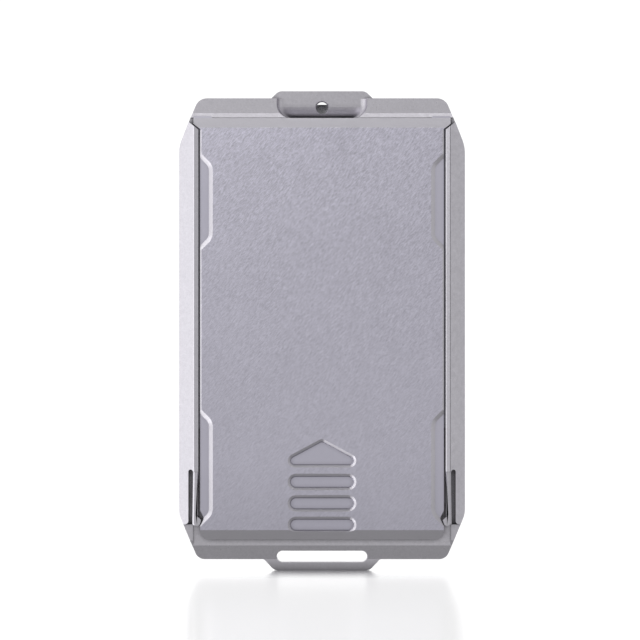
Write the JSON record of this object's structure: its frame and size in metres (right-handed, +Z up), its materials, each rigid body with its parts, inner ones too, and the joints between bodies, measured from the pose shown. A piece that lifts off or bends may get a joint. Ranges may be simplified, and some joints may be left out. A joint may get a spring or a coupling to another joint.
{
  "type": "minimalist wallet",
  "caption": "Slim milled metal card wallet with a sliding front cover, latch noses in its rails, a leaf spring behind the cards and a money clip on the back.",
  "frame": {"origin": "centre of the outer box seen from above, at the bottom of the strap loop that the wallet stands on", "axes": "+Z up along the wallet's length, the way the cover slides open; the front face with the cover looks along -Y; +X to the right as seen from the front"},
  "size_m": [0.063, 0.0128, 0.1059],
  "materials": {
    "frame_metal": "bead-blasted satin",
    "back_metal": "bead-blasted satin",
    "rail_metal": "bead-blasted satin",
    "cover_metal": "fine brushed satin",
    "screw_steel": "black oxide",
    "pin_steel": "ground",
    "spring_steel": "rolled strip",
    "clip_steel": "satin"
  },
  "bodies": {
    "body": {"frame": "frame_metal", "back_plate": "back_metal", "left_rail": "rail_metal", "right_rail": "rail_metal", "left_rail_screws": "screw_steel", "right_rail_screws": "screw_steel", "left_stop_pin": "pin_steel", "right_stop_pin": "pin_steel", "leaf_spring_strap": "spring_steel", "leaf_spring_rivets": "pin_steel", "money_clip_foot": "clip_steel", "money_clip_screws": "screw_steel"},
    "cover": {"slide_cover": "cover_metal"},
    "left_latch": {"left_latch_arm": "rail_metal"},
    "right_latch": {"right_latch_arm": "rail_metal"},
    "upper_leaf": {"leaf_spring_upper": "spring_steel"},
    "lower_leaf": {"leaf_spring_lower": "spring_steel"},
    "clip": {"money_clip_blade": "clip_steel"}
  },
  "joints": [
    {"name": "cover_slide", "type": "slide", "parent": "body", "child": "cover", "axis": [0, 0, 1], "range_m": [0, 0.058]},
    {"name": "left_latch_flex", "type": "hinge", "parent": "body", "child": "left_latch", "pos_m": [-0.02852, -0.0058, 0.0219], "axis": [0, 1, 0], "range_deg": [0, 3], "stiffness_Nm_per_rad": 0.0004},
    {"name": "right_latch_flex", "type": "hinge", "parent": "body", "child": "right_latch", "pos_m": [0.02852, -0.0058, 0.0219], "axis": [0, -1, 0], "range_deg": [0, 3], "stiffness_Nm_per_rad": 0.0004},
    {"name": "upper_leaf_flex", "type": "hinge", "parent": "body", "child": "upper_leaf", "pos_m": [0, 0.0023, 0.05906], "axis": [-1, 0, 0], "range_deg": [0, 1.5], "stiffness_Nm_per_rad": 0.03},
    {"name": "lower_leaf_flex", "type": "hinge", "parent": "body", "child": "lower_leaf", "pos_m": [0, 0.0023, 0.04694], "axis": [1, 0, 0], "range_deg": [0, 1.5], "stiffness_Nm_per_rad": 0.03},
    {"name": "clip_flex", "type": "hinge", "parent": "body", "child": "clip", "pos_m": [0, 0.00465, 0.034], "axis": [-1, 0, 0], "range_deg": [0, 8], "stiffness_Nm_per_rad": 1.5, "springref_deg": -1.72}
  ]
}
